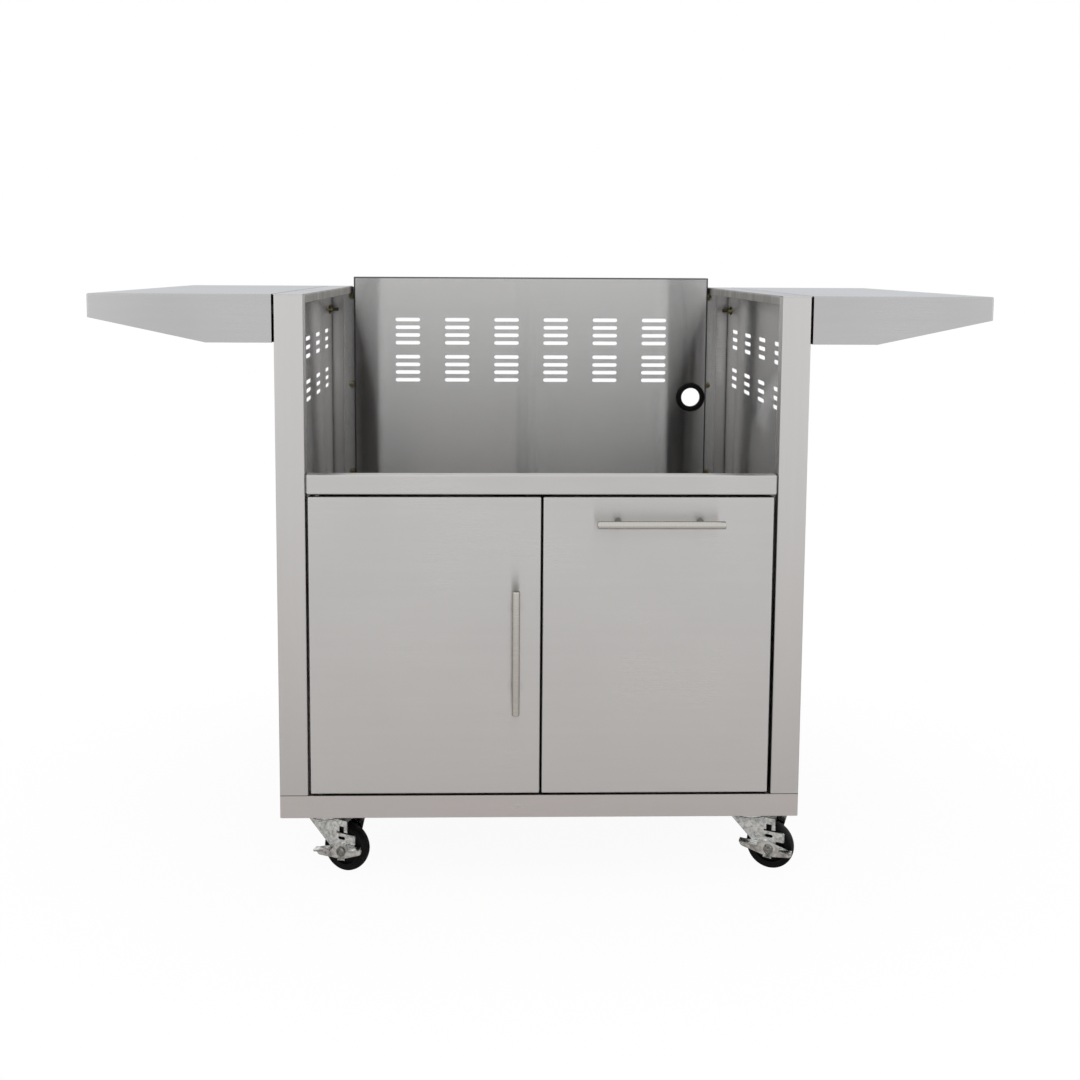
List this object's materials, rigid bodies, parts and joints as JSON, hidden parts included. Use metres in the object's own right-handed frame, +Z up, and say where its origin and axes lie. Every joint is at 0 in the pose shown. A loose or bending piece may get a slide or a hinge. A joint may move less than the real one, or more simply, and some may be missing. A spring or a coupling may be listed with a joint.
{
  "type": "grill cart",
  "caption": "Stainless steel grill cart on swivel casters, open at the top for a drop-in grill, with a hinged door, a pull-out gas bottle drawer and folding side shelves.",
  "frame": {"origin": "on the floor under the middle of the cart's box", "axes": "+X to the user's right along the width, +Y towards the back, +Z up"},
  "size_m": [1.384, 0.636, 0.951],
  "materials": {
    "brushed_stainless": "brushed along the sheet",
    "satin_bar": "fine satin",
    "bright_zinc": "bright zinc plate",
    "yellow_zinc": "yellow zinc plate",
    "black_rubber": "smooth moulded",
    "wheel_rubber": "moulded, slightly worn",
    "black_nylon": "moulded"
  },
  "bodies": {
    "cabinet": {"base_pan": "brushed_stainless", "side_skin_left": "brushed_stainless", "side_skin_right": "brushed_stainless", "front_post_left": "brushed_stainless", "front_post_right": "brushed_stainless", "rear_post_left": "brushed_stainless", "rear_post_right": "brushed_stainless", "top_rail_left": "brushed_stainless", "top_rail_right": "brushed_stainless", "back_panel": "brushed_stainless", "hose_grommet": "black_rubber", "back_panel_screws": "yellow_zinc", "front_crossbar": "brushed_stainless", "centre_mullion": "brushed_stainless", "door_hinge_bushes": "black_nylon", "door_catch": "black_nylon", "slide_stands": "brushed_stainless", "slide_outer_left": "bright_zinc", "slide_outer_right": "bright_zinc", "shelf_brackets_left": "brushed_stainless", "shelf_brackets_right": "brushed_stainless", "shelf_bracket_bolts": "yellow_zinc", "caster_plates": "bright_zinc", "caster_bolts": "bright_zinc", "caster_kingpins": "bright_zinc"},
    "door": {"door_skin": "brushed_stainless", "door_liner": "brushed_stainless", "door_handle_bar": "satin_bar", "door_handle_standoffs": "satin_bar", "door_hinge_pins": "bright_zinc", "door_strike": "bright_zinc"},
    "drawer": {"drawer_skin": "brushed_stainless", "drawer_liner": "brushed_stainless", "drawer_handle_bar": "satin_bar", "drawer_handle_standoffs": "satin_bar", "tank_tray": "brushed_stainless", "drawer_gussets": "brushed_stainless", "slide_inner_left": "bright_zinc", "slide_inner_right": "bright_zinc"},
    "slide_middles": {"slide_middle_left": "bright_zinc", "slide_middle_right": "bright_zinc"},
    "left_shelf": {"shelf_left": "brushed_stainless", "shelf_pins_left": "bright_zinc"},
    "right_shelf": {"shelf_right": "brushed_stainless", "shelf_pins_right": "bright_zinc"},
    "fork_front_left": {"caster_fork_front_left": "bright_zinc", "caster_axle_front_left": "bright_zinc"},
    "wheel_front_left": {"caster_wheel_front_left": "wheel_rubber"},
    "lever_front_left": {"brake_lever_front_left": "bright_zinc"},
    "fork_front_right": {"caster_fork_front_right": "bright_zinc", "caster_axle_front_right": "bright_zinc"},
    "wheel_front_right": {"caster_wheel_front_right": "wheel_rubber"},
    "lever_front_right": {"brake_lever_front_right": "bright_zinc"},
    "fork_rear_left": {"caster_fork_rear_left": "bright_zinc", "caster_axle_rear_left": "bright_zinc"},
    "wheel_rear_left": {"caster_wheel_rear_left": "wheel_rubber"},
    "fork_rear_right": {"caster_fork_rear_right": "bright_zinc", "caster_axle_rear_right": "bright_zinc"},
    "wheel_rear_right": {"caster_wheel_rear_right": "wheel_rubber"}
  },
  "joints": [
    {"name": "door_swing", "type": "hinge", "parent": "cabinet", "child": "door", "pos_m": [-0.3485, -0.273, 0.382], "axis": [0, 0, -1], "range_deg": [0, 110]},
    {"name": "drawer_slide", "type": "slide", "parent": "cabinet", "child": "drawer", "axis": [0, -1, 0], "range_m": [0, 0.45]},
    {"name": "slide_middle_travel", "type": "slide", "parent": "cabinet", "child": "slide_middles", "axis": [0, -1, 0], "range_m": [0, 0.225]},
    {"name": "shelf_left_fold", "type": "hinge", "parent": "cabinet", "child": "left_shelf", "pos_m": [-0.424, 0.018, 0.865], "axis": [0, -1, 0], "range_deg": [0, 90]},
    {"name": "shelf_right_fold", "type": "hinge", "parent": "cabinet", "child": "right_shelf", "pos_m": [0.424, 0.018, 0.865], "axis": [0, 1, 0], "range_deg": [0, 90]},
    {"name": "swivel_front_left", "type": "hinge", "parent": "cabinet", "child": "fork_front_left", "pos_m": [-0.3445, -0.2275, 0.095], "axis": [0, 0, 1], "continuous": true},
    {"name": "roll_front_left", "type": "hinge", "parent": "fork_front_left", "child": "wheel_front_left", "pos_m": [-0.3107, -0.24255, 0.038], "axis": [0.4067, 0.9135, 0], "continuous": true},
    {"name": "brake_front_left", "type": "hinge", "parent": "fork_front_left", "child": "lever_front_left", "pos_m": [-0.3107, -0.24255, 0.038], "axis": [-0.4067, -0.9135, 0], "range_deg": [-18, 0]},
    {"name": "swivel_front_right", "type": "hinge", "parent": "cabinet", "child": "fork_front_right", "pos_m": [0.3445, -0.2275, 0.095], "axis": [0, 0, 1], "continuous": true},
    {"name": "roll_front_right", "type": "hinge", "parent": "fork_front_right", "child": "wheel_front_right", "pos_m": [0.3783, -0.24255, 0.038], "axis": [0.4067, 0.9135, 0], "continuous": true},
    {"name": "brake_front_right", "type": "hinge", "parent": "fork_front_right", "child": "lever_front_right", "pos_m": [0.3783, -0.24255, 0.038], "axis": [-0.4067, -0.9135, 0], "range_deg": [-3, 15]},
    {"name": "swivel_rear_left", "type": "hinge", "parent": "cabinet", "child": "fork_rear_left", "pos_m": [-0.3445, 0.2635, 0.095], "axis": [0, 0, 1], "continuous": true},
    {"name": "roll_rear_left", "type": "hinge", "parent": "fork_rear_left", "child": "wheel_rear_left", "pos_m": [-0.3107, 0.24845, 0.038], "axis": [0.4067, 0.9135, 0], "continuous": true},
    {"name": "swivel_rear_right", "type": "hinge", "parent": "cabinet", "child": "fork_rear_right", "pos_m": [0.3445, 0.2635, 0.095], "axis": [0, 0, 1], "continuous": true},
    {"name": "roll_rear_right", "type": "hinge", "parent": "fork_rear_right", "child": "wheel_rear_right", "pos_m": [0.3783, 0.24845, 0.038], "axis": [0.4067, 0.9135, 0], "continuous": true}
  ],
  "couplings": [
    {"joint": "slide_middle_travel", "follows": "drawer_slide", "ratio": 0.5}
  ]
}
